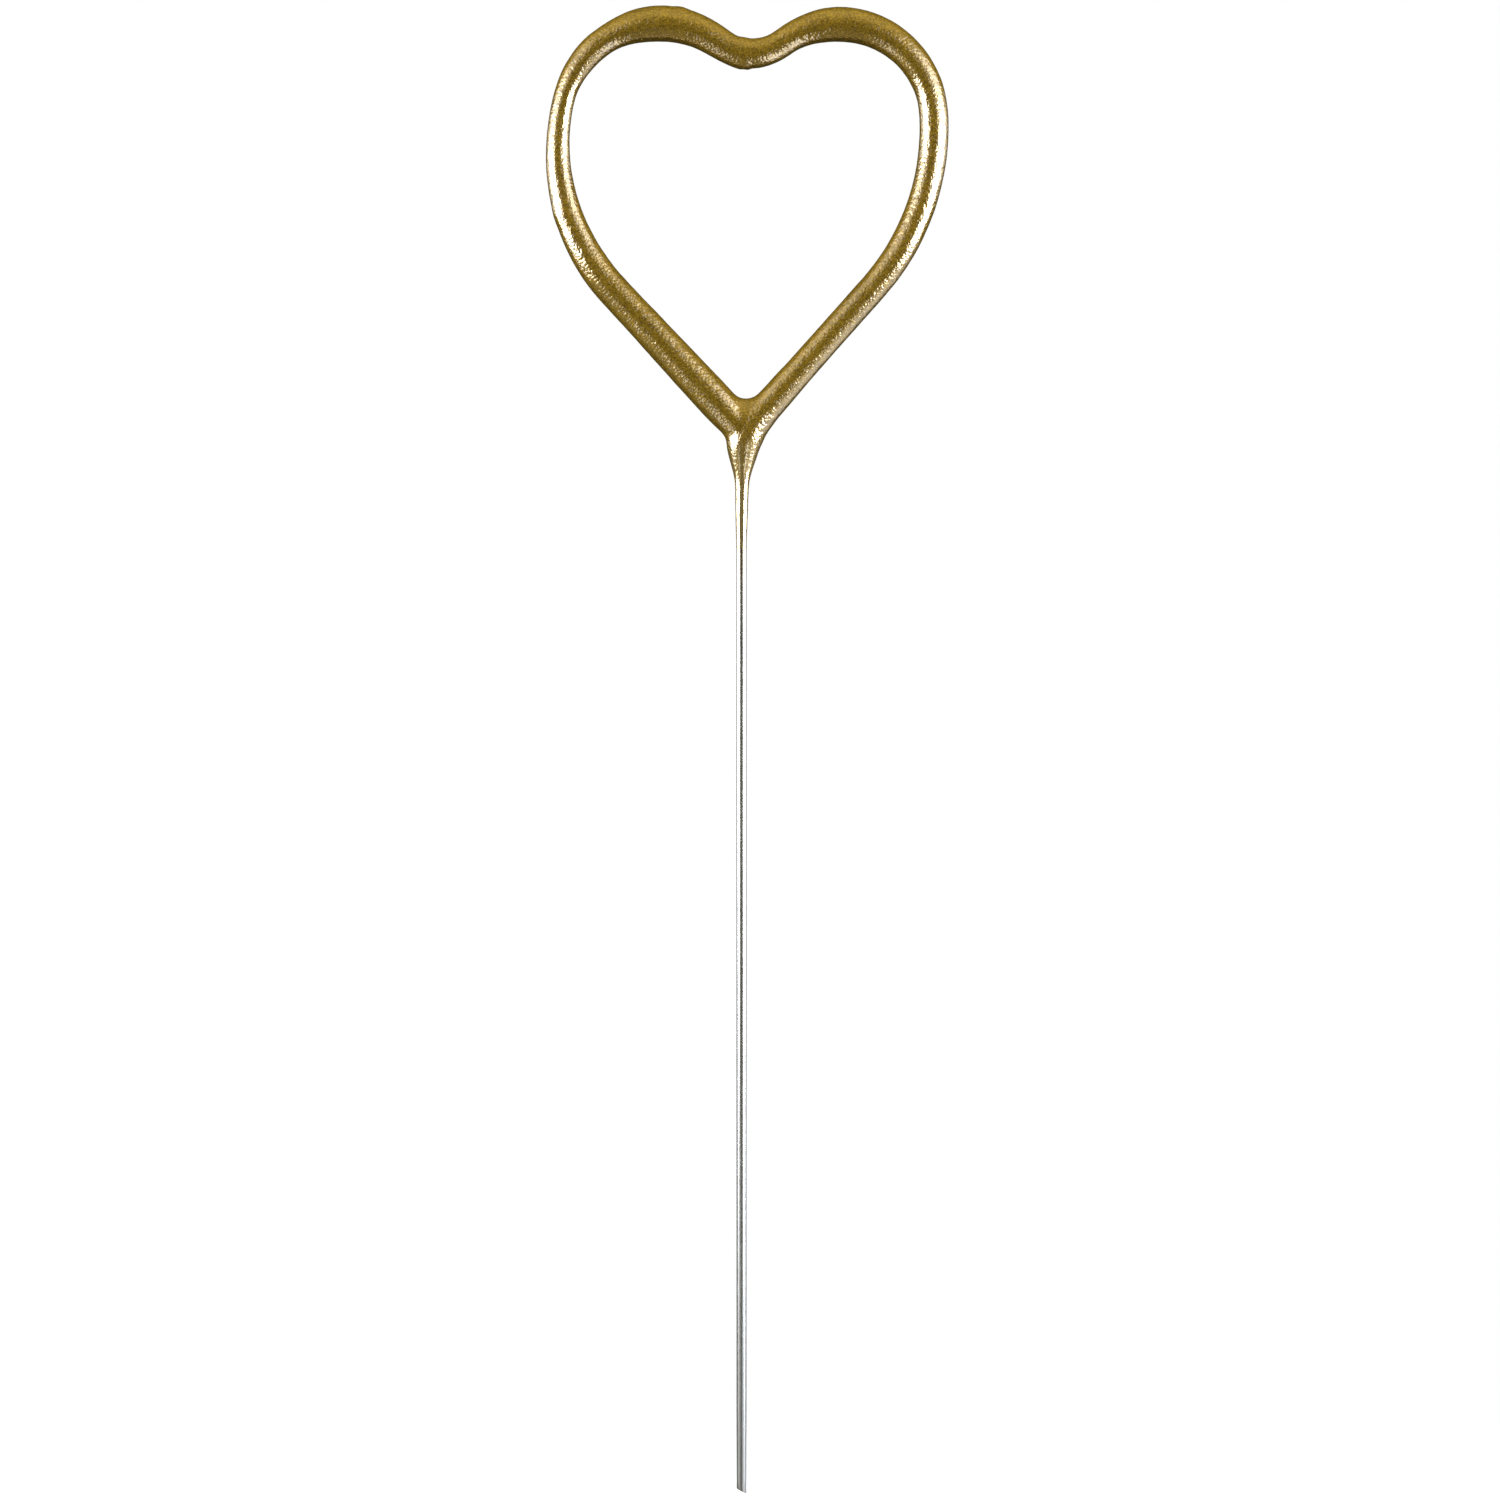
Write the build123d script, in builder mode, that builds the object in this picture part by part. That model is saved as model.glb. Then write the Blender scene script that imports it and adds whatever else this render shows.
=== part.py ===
from build123d import *
from itertools import pairwise
from math import ceil, cos, degrees, radians, sin, tan
import os

# Heart sparkler: a wire stem bent into a heart, dipped twice in sparkler composition and lacquered gold.
# Frame: the foot of the stem is at the origin, +Z runs up the stem, +X is the heart's right as seen from
# the front, and the heart lies in the XZ plane. Millimetres and degrees.

# Wire
wire_diameter = 1.2
foot_cut_angle = 26.0
lead_bend_radius = 400.0
point_bend_radius = 5.5

# Heart, along the wire's centre line
point_height = 126.9
left_leg_rise = 0.9
cleft_rise = 45.9
cleft_offset = 1.1
cleft_bend_radius = 6.4
dip_angle = 36.6
right_leg_angle = 41.6
right_flank_radius = 28.8
right_shoulder_angle = 3.5
left_leg_angle = 42.9
left_flank_radius = 25.0
left_shoulder_angle = 14.1

# Weld between the wire's tail end and the stem
weld_gap = 0.35
weld_radius = 0.9
weld_cover = 0.1

# First dip, from the start of the bend at the heart's point
base_thickness = 0.35

# Second dip over the first, at places from the heart's point round by the right side and back
point_coat = 1.14
right_root_coat = 0.8
right_leg_coat = 0.67
right_flank_coat = 0.7
right_lobe_coat = 1.06
right_dip_coat = 0.65
cleft_coat = 0.76
left_lobe_coat = 1.14
left_shoulder_coat = 0.62
left_flank_coat = 0.28
left_leg_coat = 0.94
left_root_coat = 1.16
crotch_radius = 2.2
throat_length = 4.7
throat_edge = 0.12

# Gold lacquer, over the second dip and down the stem
lacquer_thickness = 0.1
runout_length = 7.0
runout_edge = 0.05

# Lofting
section_pitch = 3.0
least_steps = 5
root_inset = 0.15

wire_radius = wire_diameter / 2


def heading(angle):
    """Unit vector in the heart's plane, at an angle from +X towards +Z."""
    return Vector(cos(radians(angle)), 0, sin(radians(angle)))


def arc_step(start, end):
    """From the start to the end of an arc of radius 1 that turns from one heading to another."""
    side = 1 if end > start else -1
    return (heading(end - 90) - heading(start - 90)) * side


def cross(first, second):
    """Cross product of two vectors in the heart's plane."""
    return first.X * second.Z - first.Z * second.X


def half_heart(leg_foot, cleft, leg_angle, flank_radius, shoulder_angle):
    """Joints of one half's runs, from its straight leg to the cleft, drawn as a right half.

    The leg's length and the lobe's radius are what closes the half between its two ends.
    """
    leg_heading = 90 - leg_angle
    shoulder_heading = 90 + shoulder_angle
    dip_heading = 180 + dip_angle
    flank = arc_step(leg_heading, shoulder_heading) * flank_radius
    dip = arc_step(dip_heading, 180) * cleft_bend_radius
    open_span = cleft - leg_foot - flank - dip
    leg = heading(leg_heading)
    lobe = arc_step(shoulder_heading, dip_heading)
    leg_length = cross(open_span, lobe) / cross(leg, lobe)
    lobe_radius = cross(leg, open_span) / cross(leg, lobe)
    leg_end = leg_foot + leg * leg_length
    shoulder = leg_end + flank
    lobe_top = shoulder + arc_step(shoulder_heading, 180) * lobe_radius
    return leg_end, shoulder, lobe_top, cleft - dip


def mirrored(point):
    """The same place on the other side of the stem."""
    return Vector(-point.X, point.Y, point.Z)


# Centre line of the wire
right_foot = Vector(0, 0, point_height)
left_foot = Vector(0, 0, point_height + left_leg_rise)
cleft_point = Vector(cleft_offset, 0, point_height + cleft_rise)
right_points = half_heart(
    right_foot, cleft_point, right_leg_angle, right_flank_radius, right_shoulder_angle
)
left_points = half_heart(
    left_foot, mirrored(cleft_point), left_leg_angle, left_flank_radius, left_shoulder_angle
)
right_leg_end, right_shoulder, right_top, right_dip = right_points
left_leg_end, left_shoulder, left_top, left_dip = [mirrored(point) for point in left_points]

# Under the coats the wire leads over a little, then bends into the right leg's line
runout_heading = 90 - degrees(runout_length / lead_bend_radius)
throat_heading = runout_heading - degrees(throat_length / lead_bend_radius)
runout_step = arc_step(90, runout_heading) * lead_bend_radius
throat_step = arc_step(runout_heading, throat_heading) * lead_bend_radius
bend_step = arc_step(throat_heading, 90 - right_leg_angle) * point_bend_radius
bend_reach = runout_step + throat_step + bend_step
bare_length = point_height + bend_reach.X / tan(radians(right_leg_angle)) - bend_reach.Z
runout_start = Vector(0, 0, bare_length)
throat_start = runout_start + runout_step
bend_start = throat_start + throat_step
bend_centre = bend_start + heading(throat_heading - 90) * point_bend_radius
tail_heading = heading(270 + left_leg_angle)


def on_tail(reach):
    """Place on the left leg's line at a distance from the centre of the point's bend."""
    to_centre = bend_centre - left_foot
    to_nearest = to_centre.dot(tail_heading)
    off_line = cross(tail_heading, to_centre)
    return left_foot + tail_heading * (to_nearest - (reach**2 - off_line**2) ** 0.5)


tail_end = on_tail(point_bend_radius + wire_radius + weld_gap)
root_end = on_tail(point_bend_radius)

with BuildLine() as core_line:
    stem = Line(Vector(0, 0, 0), runout_start)
    runout = TangentArc(stem @ 1, throat_start, tangent=stem % 1)
    throat = TangentArc(runout @ 1, bend_start, tangent=runout % 1)
    bend = TangentArc(throat @ 1, bend_start + bend_step, tangent=throat % 1)
    right_leg = Line(bend @ 1, right_leg_end)
    right_flank = TangentArc(right_leg @ 1, right_shoulder, tangent=right_leg % 1)
    right_outer_lobe = TangentArc(right_flank @ 1, right_top, tangent=right_flank % 1)
    right_inner_lobe = TangentArc(right_outer_lobe @ 1, right_dip, tangent=right_outer_lobe % 1)
    right_cleft = TangentArc(right_inner_lobe @ 1, cleft_point, tangent=right_inner_lobe % 1)
    left_cleft = TangentArc(right_cleft @ 1, left_dip, tangent=right_cleft % 1)
    left_inner_lobe = TangentArc(left_cleft @ 1, left_top, tangent=left_cleft % 1)
    left_outer_lobe = TangentArc(left_inner_lobe @ 1, left_shoulder, tangent=left_inner_lobe % 1)
    left_flank = TangentArc(left_outer_lobe @ 1, left_leg_end, tangent=left_outer_lobe % 1)
    left_leg = Line(left_flank @ 1, tail_end)

# Core wire, with its foot nipped off at a slant
foot_slant = Plane(
    origin=(wire_radius, 0, 0),
    z_dir=(sin(radians(foot_cut_angle)), 0, cos(radians(foot_cut_angle))),
)
with BuildPart() as core_wire:
    with BuildSketch(Plane.XY):
        Circle(wire_radius)
    sweep(path=core_line.wire())
    split(bisect_by=foot_slant, keep=Keep.TOP)
core_wire.part.label = "core_wire"

# Weld bead, over the gap between the tail end and the bend
with BuildPart() as tail_weld:
    with Locations(tail_end + tail_heading * (weld_gap / 2)):
        Sphere(weld_radius)
    add(core_wire.part, mode=Mode.SUBTRACT)
tail_weld.part.label = "tail_weld"

# Places along the wire, as lengths from its foot
runs = [
    stem,
    runout,
    throat,
    bend,
    right_leg,
    right_flank,
    right_outer_lobe,
    right_inner_lobe,
    right_cleft,
    left_cleft,
    left_inner_lobe,
    left_outer_lobe,
    left_flank,
    left_leg,
]


def along(run, share):
    """Length of wire from the foot to a share of one run."""
    return sum(earlier.length for earlier in runs[: runs.index(run)]) + share * run.length


# The coats follow the wire, and run on past its tail end into the bend
coat_path = Wire(runs + [Line(tail_end, root_end)])

cleft_place = along(right_cleft, 1)
tail_place = along(left_leg, 1)
root_place = coat_path.length


def section_plane(place):
    """Plane across the coat at a place along the wire, with its X axis on the heart's outer side."""
    centre = coat_path.position_at(place, position_mode=PositionMode.LENGTH)
    tangent = coat_path.tangent_at(place, position_mode=PositionMode.LENGTH)
    return Plane(centre, x_dir=(tangent.Z, 0, -tangent.X), z_dir=tangent)


def section(place, radius):
    """Round section of a coat, in a front half and a back half, so that its walls have no seam to cross."""
    plane = section_plane(place)
    return Face(Wire([Edge.make_circle(radius, plane, start, start + 180) for start in (0, 180)]))


def eased(stations, place):
    """Thickness at a place along the wire, eased from each station to the next."""
    for (start, first), (end, second) in pairwise(stations):
        if place <= end:
            share = (place - start) / (end - start)
            return first + (second - first) * share**2 * (3 - 2 * share)
    return stations[-1][1]


def section_places(stations):
    """Each station's place, with even steps in between."""
    places = []
    for (start, _), (end, _) in pairwise(stations):
        steps = max(least_steps, ceil((end - start) / section_pitch))
        places += [start + (end - start) * step / steps for step in range(steps)]
    return places + [stations[-1][0]]


def coat_body(stations, fillet_radius=0):
    """Solid out to a coat's surface: two limbs that meet at the cleft and run together at the point."""
    places = section_places(stations)
    right_places = [place for place in places if place <= cleft_place]
    left_places = [place for place in places if place >= cleft_place]
    with BuildPart() as body:
        for limb_places in (right_places, left_places):
            loft([section(place, wire_radius + eased(stations, place)) for place in limb_places])
        if fillet_radius:
            off_plane = body.edges().filter_by(lambda edge: abs(edge.center().Y) > wire_radius / 2)
            fillet(off_plane.sort_by_distance(root_end)[:2], fillet_radius)
    return body.part


def between(outer, inner, run):
    """Solid between two bodies, with a bore for the run of wire between their flat ends on the stem."""
    outer_end, *outer_walls = outer.faces().sort_by(Axis.Z)
    inner_end, *inner_walls = inner.faces().sort_by(Axis.Z)
    bore_start = Wire.make_circle(wire_radius, Plane(outer_end))
    bore_end = Wire.make_circle(wire_radius, Plane(inner_end))
    bore = Shell.sweep(bore_start, run)
    ends = [outer_end.make_holes([bore_start]), inner_end.make_holes([bore_end])]
    return Solid(Shell(outer_walls + inner_walls + ends + list(bore.faces())))


def over_core(outer, core):
    """Solid between a body and the core in it, which leaves by the body's flat end on the stem."""
    outer_end, *outer_walls = outer.faces().sort_by(Axis.Z)
    core_walls = core.faces().filter_by(lambda face: face.center().Z > bend_start.Z)
    bore_start = Wire.make_circle(wire_radius, Plane(outer_end))
    return Solid(Shell(outer_walls + core_walls + [outer_end.make_holes([bore_start])]))


def second_dip(cover):
    """Stations of the second dip's surface, or of a cover of some thickness over it."""
    coats = [
        (along(bend, 0.5), point_coat),
        (along(right_leg, 0.15), right_root_coat),
        (along(right_leg, 0.5), right_leg_coat),
        (along(right_flank, 1), right_flank_coat),
        (along(right_outer_lobe, 1), right_lobe_coat),
        (along(right_inner_lobe, 1), right_dip_coat),
        (cleft_place, cleft_coat),
        (along(left_inner_lobe, 1), left_lobe_coat),
        (along(left_outer_lobe, 0.5), left_shoulder_coat),
        (along(left_outer_lobe, 1), left_flank_coat),
        (along(left_leg, 0), left_leg_coat),
        (along(left_leg, 0.8), left_root_coat),
        (root_place, point_coat - root_inset),
    ]
    edge = (along(throat, 0), throat_edge + cover)
    return [edge] + [(place, base_thickness + coat + cover) for place, coat in coats]


# The first dip swells over the weld, at both sides of the heart's point
over_weld = weld_radius - wire_radius + weld_cover
first_dip = [
    (along(bend, 0), base_thickness),
    (along(bend, 0.5), over_weld),
    (along(right_leg, 0.15), base_thickness),
    (cleft_place, base_thickness),
    (along(left_leg, 0.8), base_thickness),
    (tail_place, over_weld),
    (root_place, over_weld - root_inset),
]
lacquer = [(along(runout, 0), runout_edge)] + second_dip(lacquer_thickness)

base_body = coat_body(first_dip)
composition_body = coat_body(second_dip(0), crotch_radius)
lacquer_body = coat_body(lacquer, crotch_radius - lacquer_thickness)

# First dip, on the bare wire and its weld
with BuildPart() as base_coat:
    add(over_core(base_body, core_wire.part + tail_weld.part))
base_coat.part.label = "base_coat"

# Second dip, over the first
with BuildPart() as top_coat:
    add(between(composition_body, base_body, throat))
top_coat.part.label = "top_coat"

# Lacquer, over the second dip
with BuildPart() as gold_lacquer:
    add(between(lacquer_body, composition_body, runout))
gold_lacquer.part.label = "gold_lacquer"

os.makedirs("parts", exist_ok=True)
for piece in (core_wire, tail_weld, base_coat, top_coat, gold_lacquer):
    export_step(piece.part, f"parts/{piece.part.label}.step")
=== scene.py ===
import math

import bmesh
import bpy
from mathutils import Matrix, Vector, noise


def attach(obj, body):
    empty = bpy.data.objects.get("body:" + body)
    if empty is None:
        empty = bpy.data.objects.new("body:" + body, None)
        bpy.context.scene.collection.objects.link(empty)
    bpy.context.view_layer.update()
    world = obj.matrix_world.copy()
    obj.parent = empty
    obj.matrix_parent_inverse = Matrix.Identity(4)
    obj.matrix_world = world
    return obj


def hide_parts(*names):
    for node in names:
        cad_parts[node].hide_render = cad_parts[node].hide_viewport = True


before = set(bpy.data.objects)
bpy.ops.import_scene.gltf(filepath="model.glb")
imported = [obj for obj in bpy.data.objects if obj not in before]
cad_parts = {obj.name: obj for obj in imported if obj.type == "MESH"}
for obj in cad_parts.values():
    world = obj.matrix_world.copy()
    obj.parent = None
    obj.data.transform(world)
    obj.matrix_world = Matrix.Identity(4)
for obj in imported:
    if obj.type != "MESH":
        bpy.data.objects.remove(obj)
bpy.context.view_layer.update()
mm = 0.001  # pieces are modelled in millimetres, then brought to metres
print("frame loaded:", ", ".join(sorted(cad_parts)))

# The wire's way from its foot round the heart: bend radius (0 is a straight run), then millimetres of run or
# degrees of turn, to the right as seen from the front
stemRun = (0, 113.463)
heartRuns = [
    (400.0, 1.676),  # under the lacquer and the throat
    (5.5, 39.924),  # point of the heart
    (0, 21.519),  # right leg
    (28.8, -45.1),  # right flank
    (11.376, -123.1),  # right lobe
    (6.4, 73.2),  # cleft
    (11.858, -112.5),  # left lobe
    (25.0, -57.0),  # left flank
    (0, 22.418),  # left leg, to the wire's tail
]


def easedShare(share):
    return share * share * (3 - 2 * share)


def eased(stations, place):
    for (start, first), (end, second) in zip(stations, stations[1:]):
        if place <= end:
            return first + (second - first) * easedShare((place - start) / (end - start))
    return stations[-1][1]


def ringEdges(ring):
    inRing = set(ring)
    return list({edge for vert in ring for edge in vert.link_edges if inRing.issuperset(edge.verts)})


def sweepRuns(bm, runs, point, place, radiusAt, sides, pitch):
    # one ring of edges, extruded step by step, carried along the route and scaled to the radius there
    point = Vector(point)
    heading = Vector((0, 0, 1))
    radius = radiusAt(place)
    ring = bmesh.ops.create_circle(
        bm, cap_ends=True, segments=sides, radius=radius, matrix=Matrix.Translation(point)
    )["verts"]
    for bend, amount in runs:
        length = bend * math.radians(abs(amount)) if bend else amount
        steps = max(2, round(length / pitch))
        for _ in range(steps):
            made = bmesh.ops.extrude_edge_only(bm, edges=ringEdges(ring))["geom"]
            ring = [part for part in made if isinstance(part, bmesh.types.BMVert)]
            if bend:
                turn = Matrix.Rotation(math.radians(amount) / steps, 3, "Y")
                centre = point + Vector((heading.z, 0, -heading.x)) * math.copysign(bend, amount)
                bmesh.ops.rotate(bm, verts=ring, cent=centre, matrix=turn)
                point = centre + turn @ (point - centre)
                heading = turn @ heading
            else:
                bmesh.ops.translate(bm, verts=ring, vec=heading * (length / steps))
                point = point + heading * (length / steps)
            place += length / steps
            size = radiusAt(place) / radius
            bmesh.ops.scale(bm, verts=ring, vec=(size, size, size), space=Matrix.Translation(-point))
            radius = radiusAt(place)
    bmesh.ops.edgeloop_fill(bm, edges=ringEdges(ring))
    bmesh.ops.recalc_face_normals(bm, faces=bm.faces)


def addObject(name, bm):
    mesh = bpy.data.meshes.new(name)
    bm.to_mesh(mesh)
    bm.free()
    made = bpy.data.objects.new(name, mesh)
    bpy.context.scene.collection.objects.link(made)
    return made


def placePiece(name, bm, material):
    bmesh.ops.scale(bm, verts=bm.verts, vec=(mm, mm, mm))
    for face in bm.faces:
        face.smooth = True
    piece = addObject(name, bm)
    piece.data.materials.append(material)
    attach(piece, "root")
    return piece


def addNode(tree, kind, inputs=None, **settings):
    node = tree.nodes.new(kind)
    for key, value in settings.items():
        setattr(node, key, value)
    for key, value in (inputs or {}).items():
        if isinstance(value, bpy.types.NodeSocket):
            tree.links.new(value, node.inputs[key])
        else:
            node.inputs[key].default_value = value
    return node


def startMaterial(name):
    material = bpy.data.materials.new(name)
    material.use_nodes = True
    tree = material.node_tree
    place = addNode(tree, "ShaderNodeTexCoord").outputs["Object"]
    return material, tree, tree.nodes["Principled BSDF"], place


def addMath(tree, operation, first, second=0.0):
    return addNode(tree, "ShaderNodeMath", {0: first, 1: second}, operation=operation).outputs[0]


def addNoise(tree, place, perMetre, detail):
    inputs = {"Vector": place, "Scale": perMetre, "Detail": detail}
    return addNode(tree, "ShaderNodeTexNoise", inputs).outputs["Fac"]


def addCells(tree, place, perMetre):
    return addNode(tree, "ShaderNodeTexVoronoi", {"Vector": place, "Scale": perMetre}).outputs["Distance"]


def addBump(tree, height, depth, strength, **under):
    inputs = {"Strength": strength, "Distance": depth, "Height": height, **under}
    return addNode(tree, "ShaderNodeBump", inputs).outputs[0]


def mixColours(tree, factor, first, second):
    # sockets by number, because all kinds of mix share their names
    sockets = {0: factor, 6: first, 7: second}
    return addNode(tree, "ShaderNodeMix", sockets, data_type="RGBA").outputs[2]


def spread(tree, value, low, high, toLow=0.0, toHigh=1.0):
    inputs = {"Value": value, "From Min": low, "From Max": high, "To Min": toLow, "To Max": toHigh}
    return addNode(tree, "ShaderNodeMapRange", inputs).outputs["Result"]


def ramp(tree, value, stops):
    low, high = stops[0][0], stops[-1][0]
    node = addNode(tree, "ShaderNodeValToRGB", {"Fac": spread(tree, value, low, high)})
    elements = node.color_ramp.elements
    for _ in stops[2:]:
        elements.new(0.5)
    for element, (at, level) in zip(elements, stops):
        element.position = (at - low) / (high - low)
        element.color = (level, level, level, 1)
    return node.outputs["Color"]


def heightOf(tree, place):
    return addNode(tree, "ShaderNodeSeparateXYZ", {"Vector": place}).outputs["Z"]


def raggedHeight(tree, place, drift, by):
    return addMath(tree, "ADD", spread(tree, drift, 0, 1, -by, by), heightOf(tree, place))


# Gold lacquer over the dipped heart: metal pigment under a clear gloss, dried to a fine pebbling
goldFinish = {
    "gold": (0.4, 0.241, 0.0141, 1),
    "darkGold": (0.185, 0.109, 0.005, 1),
    "thinFilm": (0.6, 0.47, 0.22, 1),
    "specksPerMetre": 3800,
    "speckRange": (0.4, 0.6),
    "speckShare": 0.75,
    "driftPerMetre": 420.0,
    "driftRange": (0.38, 0.66),
    "driftShare": 0.25,
    "pebblesPerMetre": 3000,
    "pebbleDepth": 0.000032,
    "ripplePerMetre": 1200,
    "rippleDepth": 0.00008,
    "rippleStrength": 0.5,
    "filmStart": 0.1138,
    "filmFull": 0.1275,
    "filmThinnest": 0.12,
    "filmRagged": 0.0015,
    "metal": (0.85, 0.45),  # in the thin film, in the full coat
    "roughness": (0.08, 0.14),
    "glossIor": 2.0,
    "glossRoughness": 0.06,
}


def makeGoldLacquer(spec):
    material, tree, shader, place = startMaterial("goldLacquer")
    ripple = addNoise(tree, place, spec["ripplePerMetre"], 2.0)
    drift = addNoise(tree, place, spec["driftPerMetre"], 4.0)
    specks = addNoise(tree, place, spec["specksPerMetre"], 2.0)
    speckled = spread(tree, specks, *spec["speckRange"], 0, spec["speckShare"])
    drifted = spread(tree, drift, *spec["driftRange"], 0, spec["driftShare"])
    gold = mixColours(tree, addMath(tree, "ADD", speckled, drifted), spec["gold"], spec["darkGold"])
    # the film thins out down the stem, with a ragged end
    ragged = raggedHeight(tree, place, drift, spec["filmRagged"])
    cover = spread(tree, ragged, spec["filmStart"], spec["filmFull"], spec["filmThinnest"], 1.0)
    tree.links.new(mixColours(tree, cover, spec["thinFilm"], gold), shader.inputs["Base Color"])
    tree.links.new(spread(tree, cover, 0, 1, *spec["metal"]), shader.inputs["Metallic"])
    # domed pebbles on slower waves, both flatter where the film is thin
    waves = addBump(
        tree, ripple, spec["rippleDepth"], spread(tree, cover, 0, 1, 0, spec["rippleStrength"])
    )
    dome = addMath(tree, "POWER", addCells(tree, place, spec["pebblesPerMetre"]), 2.0)
    bump = addBump(tree, spread(tree, dome, 0, 1, 1, 0), spec["pebbleDepth"], cover, Normal=waves)
    tree.links.new(bump, shader.inputs["Normal"])
    tree.links.new(bump, shader.inputs["Coat Normal"])
    tree.links.new(spread(tree, ripple, 0.3, 0.7, *spec["roughness"]), shader.inputs["Roughness"])
    shader.inputs["Coat Weight"].default_value = 1.0
    shader.inputs["Coat IOR"].default_value = spec["glossIor"]
    shader.inputs["Coat Roughness"].default_value = spec["glossRoughness"]
    return material


# Drawn steel wire, rougher towards the foot and darkened there by painted shade, stained where the lacquer
# begins
wireFinish = {
    "bright": (0.6, 0.6, 0.59, 1),
    "worn": (0.42, 0.42, 0.41, 1),
    "wearPerMetre": 260.0,
    "wearRange": (0.42, 0.72),
    # painted shade: dark grey the steel turns to at the foot
    "footShadeGrey": (0.26, 0.26, 0.26, 1),
    "shadedRoughFootBelow": 0.005,
    "clearOfShadedRoughFootAbove": 0.085,
    "stained": (0.34, 0.25, 0.1, 1),
    "stainLow": 0.104,
    "stainHigh": 0.116,
    "stainShare": 0.85,
    "stainRagged": 0.004,
    "lineStretch": (7000.0, 7000.0, 25.0),
    "lineDepth": 0.00001,
    "lineStrength": 0.15,
    "roughness": (0.14, 0.24),
    "dullRoughness": 0.14,  # added at the foot
    "metal": 0.92,
}


def makeDrawnWire(spec):
    material, tree, shader, place = startMaterial("drawnWire")
    stretched = addNode(tree, "ShaderNodeMapping", {"Vector": place, "Scale": spec["lineStretch"]})
    lines = addNoise(tree, stretched.outputs[0], 1.0, 4.0)
    drift = addNoise(tree, place, spec["wearPerMetre"], 5.0)
    clearOfShadedRoughFoot = spread(tree, heightOf(tree, place), spec["shadedRoughFootBelow"], spec["clearOfShadedRoughFootAbove"])
    steel = mixColours(tree, spread(tree, drift, *spec["wearRange"]), spec["bright"], spec["worn"])
    # painted shade: the steel's colour goes over to a dark grey towards the foot
    steel = mixColours(tree, clearOfShadedRoughFoot, spec["footShadeGrey"], steel)
    ragged = raggedHeight(tree, place, drift, spec["stainRagged"])
    stain = spread(tree, ragged, spec["stainLow"], spec["stainHigh"], 0.0, spec["stainShare"])
    tree.links.new(mixColours(tree, stain, steel, spec["stained"]), shader.inputs["Base Color"])
    bump = addBump(tree, lines, spec["lineDepth"], spec["lineStrength"])
    tree.links.new(bump, shader.inputs["Normal"])
    drawn = spread(tree, lines, 0.3, 0.7, *spec["roughness"])
    rough = addMath(tree, "ADD", drawn, spread(tree, clearOfShadedRoughFoot, 0, 1, spec["dullRoughness"], 0.0))
    tree.links.new(rough, shader.inputs["Roughness"])
    shader.inputs["Metallic"].default_value = spec["metal"]
    return material


# Dried sparkler composition: grey powder with metal filings in it
topFinish = {
    "name": "topComposition",
    "light": (0.16, 0.16, 0.16, 1),
    "dark": (0.09, 0.09, 0.09, 1),
    "powderPerMetre": 2400.0,
    "powderRange": (0.35, 0.65),
    "powderDepth": 0.00005,
    "powderStrength": 0.7,
    "filing": (0.5, 0.5, 0.5, 1),
    "filingsPerMetre": 2600.0,
    "filingEdge": (0.1, 0.22),
    "roughness": 0.85,
}
baseFinish = {
    **topFinish,
    "name": "baseComposition",
    "light": (0.1, 0.1, 0.105, 1),
    "dark": (0.05, 0.05, 0.05, 1),
    "filingsPerMetre": 1900.0,
}


def makeComposition(spec):
    material, tree, shader, place = startMaterial(spec["name"])
    powder = addNoise(tree, place, spec["powderPerMetre"], 6.0)
    shade = mixColours(tree, spread(tree, powder, *spec["powderRange"]), spec["light"], spec["dark"])
    filings = addCells(tree, place, spec["filingsPerMetre"])
    glint = spread(tree, filings, *spec["filingEdge"], 1.0, 0.0)
    tree.links.new(mixColours(tree, glint, shade, spec["filing"]), shader.inputs["Base Color"])
    tree.links.new(glint, shader.inputs["Metallic"])
    bump = addBump(tree, powder, spec["powderDepth"], spec["powderStrength"])
    tree.links.new(bump, shader.inputs["Normal"])
    shader.inputs["Roughness"].default_value = spec["roughness"]
    return material


# Weld bead under the coats, browned in patches by its heat
weldFinish = {
    "clean": (0.22, 0.21, 0.2, 1),
    "browned": (0.16, 0.11, 0.07, 1),
    "patchesPerMetre": 1500.0,
    "patchRange": (0.4, 0.62),
    "grainDepth": 0.00004,
    "grainStrength": 0.5,
    "roughness": (0.35, 0.6),
}


def makeWeldMetal(spec):
    material, tree, shader, place = startMaterial("weldMetal")
    heat = addNoise(tree, place, spec["patchesPerMetre"], 5.0)
    tint = mixColours(tree, spread(tree, heat, *spec["patchRange"]), spec["clean"], spec["browned"])
    tree.links.new(tint, shader.inputs["Base Color"])
    bump = addBump(tree, heat, spec["grainDepth"], spec["grainStrength"])
    tree.links.new(bump, shader.inputs["Normal"])
    tree.links.new(spread(tree, heat, 0.3, 0.7, *spec["roughness"]), shader.inputs["Roughness"])
    shader.inputs["Metallic"].default_value = 1.0
    return material


# Wire: swept round the whole heart, its foot nipped off at a slant
wireSpec = {
    "radius": 0.6,
    "sides": 24,
    "pitch": 1.5,
    "nipDegrees": 26.0,
    "nipBevel": 0.09,
    "nipSegments": 3,
}


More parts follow.
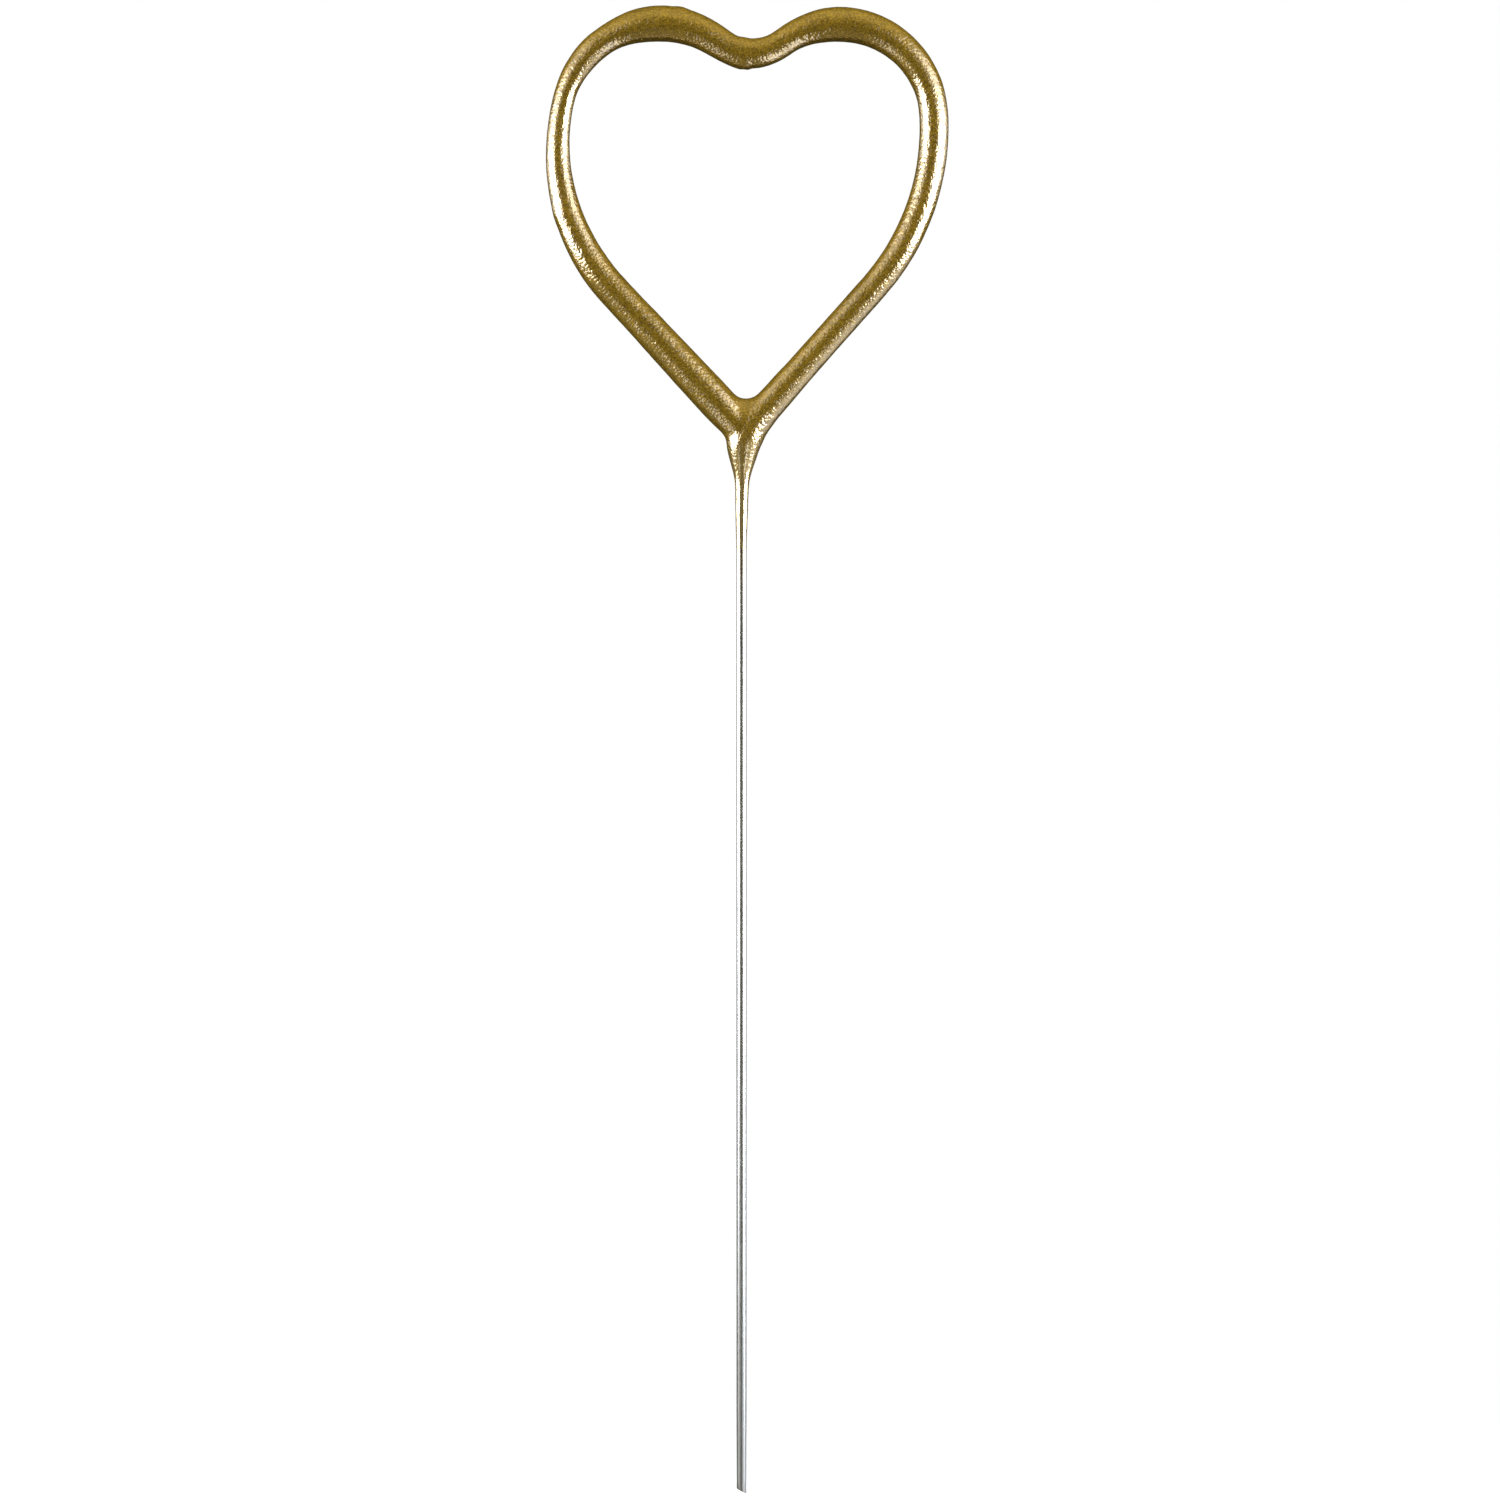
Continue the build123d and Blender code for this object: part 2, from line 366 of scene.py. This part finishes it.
def makeSteelWire(spec):
    bm = bmesh.new()
    sweepRuns(
        bm, [stemRun] + heartRuns, (0, 0, 0), 0.0, lambda place: spec["radius"], spec["sides"], spec["pitch"]
    )
    lean = math.radians(spec["nipDegrees"])
    cut = bmesh.ops.bisect_plane(
        bm,
        geom=bm.verts[:] + bm.edges[:] + bm.faces[:],
        plane_co=(spec["radius"], 0, 0),
        plane_no=(math.sin(lean), 0, math.cos(lean)),
        clear_inner=True,
    )["geom_cut"]
    rim = [part for part in cut if isinstance(part, bmesh.types.BMEdge)]
    bmesh.ops.edgeloop_fill(bm, edges=rim)
    bmesh.ops.bevel(
        bm,
        geom=rim,
        offset=spec["nipBevel"],
        affect="EDGES",
        segments=spec["nipSegments"],
        profile=0.5,
        material=-1,
        clamp_overlap=True,
    )
    bmesh.ops.recalc_face_normals(bm, faces=bm.faces)
    wire = placePiece("steelWire", bm, makeDrawnWire(wireFinish))
    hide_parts("core_wire")
    print("wire:", len(wire.data.polygons), "faces")


# Coat: swept a little too thick, fused at the heart's point, then drawn in to the lacquer
coatSpec = {
    # millimetres of wire from the foot, radius to the lacquer's outside
    "stations": [
        (113.46, 0.65),
        (120.46, 0.82),
        (127.08, 2.19),
        (132.22, 1.85),
        (139.76, 1.72),
        (173.18, 1.75),
        (190.36, 2.11),
        (197.63, 1.7),
        (201.71, 1.81),
        (213.38, 2.19),
        (221.23, 1.67),
        (229.09, 1.33),
        (253.96, 1.99),
        (271.89, 2.21),
        (277.4, 2.04),
    ],
    "rootRun": 1.03,  # from the wire's tail into the heart's point
    "oversize": 0.2,
    "sides": 28,
    "pitch": 0.8,
    "web": (0.85, 0, 130.3),  # ball that fills the fork of the legs
    "webRadius": 1.5,
    "voxel": 0.16,
    "smoothPasses": 6,
    "smoothShare": 0.5,
    "lumps": ((0.35, 0.03), (1.1, 0.012), (2.6, 0.006)),  # bumps per millimetre, height
    # drip on the left lobe and ridge on the left flank: place, reach, height
    "drips": (
        ((-7.2, -0.3, 178.5), 1.4, 0.14),
        ((-22.1, -0.9, 153.4), 2.2, 0.12),
    ),
}


def makeGoldCoat(spec):
    bm = bmesh.new()
    start = stemRun[1]
    runs = heartRuns[:-1] + [(0, heartRuns[-1][1] + spec["rootRun"])]
    sweepRuns(
        bm,
        runs,
        (0, 0, start),
        start,
        lambda place: eased(spec["stations"], place) + spec["oversize"],
        spec["sides"],
        spec["pitch"],
    )
    bmesh.ops.create_icosphere(
        bm, subdivisions=3, radius=spec["webRadius"], matrix=Matrix.Translation(spec["web"])
    )
    blank = addObject("coatBlank", bm)
    fuse = blank.modifiers.new("fuse", "REMESH")
    fuse.mode = "VOXEL"
    fuse.voxel_size = spec["voxel"]
    fused = bpy.data.meshes.new_from_object(blank.evaluated_get(bpy.context.evaluated_depsgraph_get()))
    fused.transform(Matrix.Scale(mm, 4))
    blank.modifiers.clear()
    blank.data = fused
    drawIn = blank.modifiers.new("drawIn", "SHRINKWRAP")
    drawIn.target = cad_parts["gold_lacquer"]
    drawIn.wrap_method = "NEAREST_SURFACEPOINT"
    drawIn.wrap_mode = "ON_SURFACE"
    drawn = bpy.data.meshes.new_from_object(blank.evaluated_get(bpy.context.evaluated_depsgraph_get()))
    bpy.data.objects.remove(blank)
    bm = bmesh.new()
    bm.from_mesh(drawn)
    bmesh.ops.scale(bm, verts=bm.verts, vec=(1 / mm, 1 / mm, 1 / mm))
    for _ in range(spec["smoothPasses"]):
        bmesh.ops.smooth_vert(
            bm,
            verts=bm.verts,
            factor=spec["smoothShare"],
            use_axis_x=True,
            use_axis_y=True,
            use_axis_z=True,
        )
    bm.normal_update()
    # uneven drying of the dips
    for vert in bm.verts:
        rise = sum(height * noise.noise(vert.co * perMm) for perMm, height in spec["lumps"])
        for drip, reach, height in spec["drips"]:
            rise += height * easedShare(max(0.0, 1 - (vert.co - Vector(drip)).length / reach))
        vert.co += vert.normal * rise
    bm.normal_update()
    coat = placePiece("goldCoat", bm, makeGoldLacquer(goldFinish))
    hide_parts("gold_lacquer")
    print("coat:", len(coat.data.polygons), "faces")


def dressHidden():
    finishes = {
        "top_coat": makeComposition(topFinish),
        "base_coat": makeComposition(baseFinish),
        "tail_weld": makeWeldMetal(weldFinish),
    }
    for name, finish in finishes.items():
        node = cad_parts[name]
        node.data.materials.clear()
        node.data.materials.append(finish)
    print("hidden pieces dressed")


def rayShows(tree):
    path = addNode(tree, "ShaderNodeLightPath")
    shown = addMath(tree, "MAXIMUM", path.outputs["Is Camera Ray"], path.outputs["Is Glossy Ray"])
    return addMath(tree, "MAXIMUM", shown, path.outputs["Is Transmission Ray"])


# Surround: white where it is seen, a softer fill where it only lights
worldSpec = {"fillAbove": 0.75, "fillBelow": 0.28, "fillTurns": (-0.5, 0.5)}


def makeWorld(spec):
    world = bpy.data.worlds.new("studioWorld")
    bpy.context.scene.world = world
    world.use_nodes = True
    tree = world.node_tree
    aim = addNode(tree, "ShaderNodeTexCoord").outputs["Generated"]
    fill = spread(tree, heightOf(tree, aim), *spec["fillTurns"], spec["fillBelow"], spec["fillAbove"])
    level = addNode(tree, "ShaderNodeMix", {0: rayShows(tree), 2: fill, 3: 1.0}).outputs[0]
    background = tree.nodes["Background"]
    background.inputs["Color"].default_value = (1, 1, 1, 1)
    tree.links.new(level, background.inputs["Strength"])


# Light tent that only shows in reflections: warm cloth and cool soft boxes
tentSpec = {
    "radius": 0.32,
    "centre": (0, 0, 0.15),
    "cloth": ((-1, 0.3), (-0.7, 0.36), (0, 0.6), (0.7, 0.6), (1, 0.52)),  # rise, level
    "clothLight": (1.0, 0.87, 0.42),
    "clothFades": (-0.1, 0.45),
    "backLevel": 0.1,
    "frontLevels": (0.1, 0.08),
    "frontTurns": (-0.6, 0.1),
    "frontEdge": (-0.9, -0.55),
    "boxLight": (10.3, 11.0, 12.3),
    "boxBlend": 0.1,
}

# Soft boxes to both sides: level by steepness, where each begins in front, and where it ends behind
softBoxes = {
    "left": (
        (
            ((-0.54, 0), (-0.44, 0.28), (-0.3, 0.6), (-0.2, 1), (0.08, 1), (0.22, 0.4), (0.6, 0)),
            (0.62, 0.7),
            (-0.03, 0.14),
        ),
        (((0.2, 0), (0.5, 0.09), (1.05, 0.06), (1.5, 0)), (0.2, 0.5), (-0.3, 0.2)),
        (((-1.8, 0), (-1.3, 0.2), (-1.15, 0.16), (-1.03, 0)), (0.25, 0.5), (-0.3, 0.1)),
        (((-0.22, 0), (-0.05, 0.2), (0.2, 0.2), (0.35, 0)), (0.5, 0.6), (0.3, 0.7)),
    ),
    "right": (
        (
            ((-0.58, 0), (-0.44, 1), (0.06, 1), (0.2, 0.4), (0.6, 0.26), (0.74, 0)),
            (0.62, 0.7),
            (-0.03, 0.14),
        ),
        (((0.5, 0), (0.75, 0.14), (0.92, 0.11), (0.98, 0.02), (1.4, 0)), (0.15, 0.4), (-0.25, 0.1)),
        (((-1.9, 0), (-1.1, 0.38), (-0.92, 0.12), (-0.66, 0.1), (-0.4, 0)), (0.58, 0.76), (0.3, 0.8)),
        (((-4.5, 0), (-3.0, 0.28), (-1.5, 0.28), (-1.0, 0)), (0.22, 0.4), (-0.1, 0.3)),
        (((-0.22, 0), (-0.05, 0.2), (0.2, 0.2), (0.35, 0)), (0.5, 0.6), (0.3, 0.7)),
    ),
}


def litBoxes(tree, boxes, steep, aside, depth):
    total = 0.0
    for levels, front, back in boxes:
        level = addMath(tree, "MULTIPLY", ramp(tree, steep, levels), spread(tree, aside, *front))
        level = addMath(tree, "MULTIPLY", level, spread(tree, depth, *back, 1, 0))
        total = addMath(tree, "ADD", level, total)
    return total


def makeTent(spec, boxes):
    bm = bmesh.new()
    bmesh.ops.create_uvsphere(bm, u_segments=64, v_segments=32, radius=spec["radius"])
    tent = addObject("lightTent", bm)
    tent.location = spec["centre"]
    tent.visible_camera = False
    tent.visible_diffuse = False
    tent.visible_shadow = False
    tent.visible_transmission = False
    material, tree, shader, place = startMaterial("tentCloth")
    tree.nodes.remove(shader)
    unit = addNode(tree, "ShaderNodeVectorMath", {0: place}, operation="NORMALIZE")
    along = addNode(tree, "ShaderNodeSeparateXYZ", {"Vector": unit.outputs[0]})
    across, depth, rise = (along.outputs[axis] for axis in "XYZ")
    aside = addMath(tree, "ABSOLUTE", across)
    steep = addMath(tree, "DIVIDE", rise, aside)
    left, right = (litBoxes(tree, boxes[side], steep, aside, depth) for side in ("left", "right"))
    window = mixColours(tree, spread(tree, across, -spec["boxBlend"], spec["boxBlend"]), left, right)
    # cloth dark in front, where the camera stands, and darker below and behind
    cloth = ramp(tree, rise, spec["cloth"])
    front = spread(tree, rise, *spec["frontTurns"], *spec["frontLevels"])
    wall = mixColours(tree, spread(tree, depth, *spec["frontEdge"]), front, cloth)
    shaded = addMath(
        tree, "MULTIPLY", wall, spread(tree, depth, *spec["clothFades"], 1.0, spec["backLevel"])
    )
    cool = addNode(tree, "ShaderNodeVectorMath", {0: spec["boxLight"], "Scale": window}, operation="SCALE")
    warm = addNode(tree, "ShaderNodeVectorMath", {0: spec["clothLight"], "Scale": shaded}, operation="SCALE")
    both = addNode(tree, "ShaderNodeVectorMath", {0: cool.outputs[0], 1: warm.outputs[0]}, operation="ADD")
    glow = addNode(tree, "ShaderNodeEmission", {"Color": both.outputs[0], "Strength": 1.0})
    tree.links.new(glow.outputs[0], tree.nodes["Material Output"].inputs["Surface"])
    tent.data.materials.append(material)


# Pale floor, which goes over into the white surround away from the foot
floorSpec = {
    "size": 6.0,
    "drop": 0.0004,
    "grey": (0.86, 0.86, 0.86, 1),
    "roughness": 0.9,
    "clear": (0.03, 0.16),
}


def makeFloor(spec):
    bm = bmesh.new()
    bmesh.ops.create_grid(bm, x_segments=2, y_segments=2, size=spec["size"] / 2)
    floor = addObject("floor", bm)
    floor.location.z = -spec["drop"]
    floor.visible_glossy = False
    floor.visible_diffuse = False
    material, tree, shader, place = startMaterial("paleFloor")
    shader.inputs["Base Color"].default_value = spec["grey"]
    shader.inputs["Roughness"].default_value = spec["roughness"]
    away = addNode(tree, "ShaderNodeVectorMath", {0: place}, operation="LENGTH").outputs["Value"]
    shown = addMath(tree, "MULTIPLY", spread(tree, away, *spec["clear"]), rayShows(tree))
    white = addNode(tree, "ShaderNodeEmission", {"Color": (1, 1, 1, 1), "Strength": 1.0})
    mix = addNode(tree, "ShaderNodeMixShader", {0: shown, 1: shader.outputs[0], 2: white.outputs[0]})
    tree.links.new(mix.outputs[0], tree.nodes["Material Output"].inputs["Surface"])
    floor.data.materials.append(material)


# Lamps, turned to the upper stem: name, place, width, height, watts
lamps = (
    ("leftBox", (-0.9, -0.25, 0.35), 0.5, 0.7, 9.0),
    ("rightBox", (0.9, -0.25, 0.35), 0.5, 0.7, 9.0),
    ("topBox", (0.0, -0.2, 1.1), 0.7, 0.7, 6.0),
)
lampAim = (0, 0, 0.1)


def makeLamps():
    for name, place, width, height, watts in lamps:
        light = bpy.data.lights.new(name, "AREA")
        light.shape = "RECTANGLE"
        light.size = width
        light.size_y = height
        light.energy = watts
        lamp = bpy.data.objects.new(name, light)
        lamp.location = place
        lamp.rotation_euler = (Vector(lampAim) - Vector(place)).to_track_quat("-Z", "Y").to_euler()
        lamp.visible_camera = False
        lamp.visible_glossy = False
        bpy.context.scene.collection.objects.link(lamp)


# Camera straight on to the heart's plane, with a long lens
viewSpec = {"centre": (1.02, 0, 89.22), "width": 180.0, "lens": 240.0, "sensor": 36.0}


def makeCamera(spec):
    lens = bpy.data.cameras.new("photoCamera")
    lens.sensor_width = spec["sensor"]
    lens.lens = spec["lens"]
    camera = bpy.data.objects.new("photoCamera", lens)
    away = spec["width"] * spec["lens"] / spec["sensor"]
    camera.location = (Vector(spec["centre"]) + Vector((0, -away, 0))) * mm
    camera.rotation_euler = (math.radians(90), 0, 0)
    bpy.context.scene.collection.objects.link(camera)
    bpy.context.scene.camera = camera


makeCamera(viewSpec)
makeSteelWire(wireSpec)
makeGoldCoat(coatSpec)
dressHidden()
makeWorld(worldSpec)
makeTent(tentSpec, softBoxes)
makeFloor(floorSpec)
makeLamps()
bpy.context.scene.view_settings.view_transform = "Standard"
print("studio set")
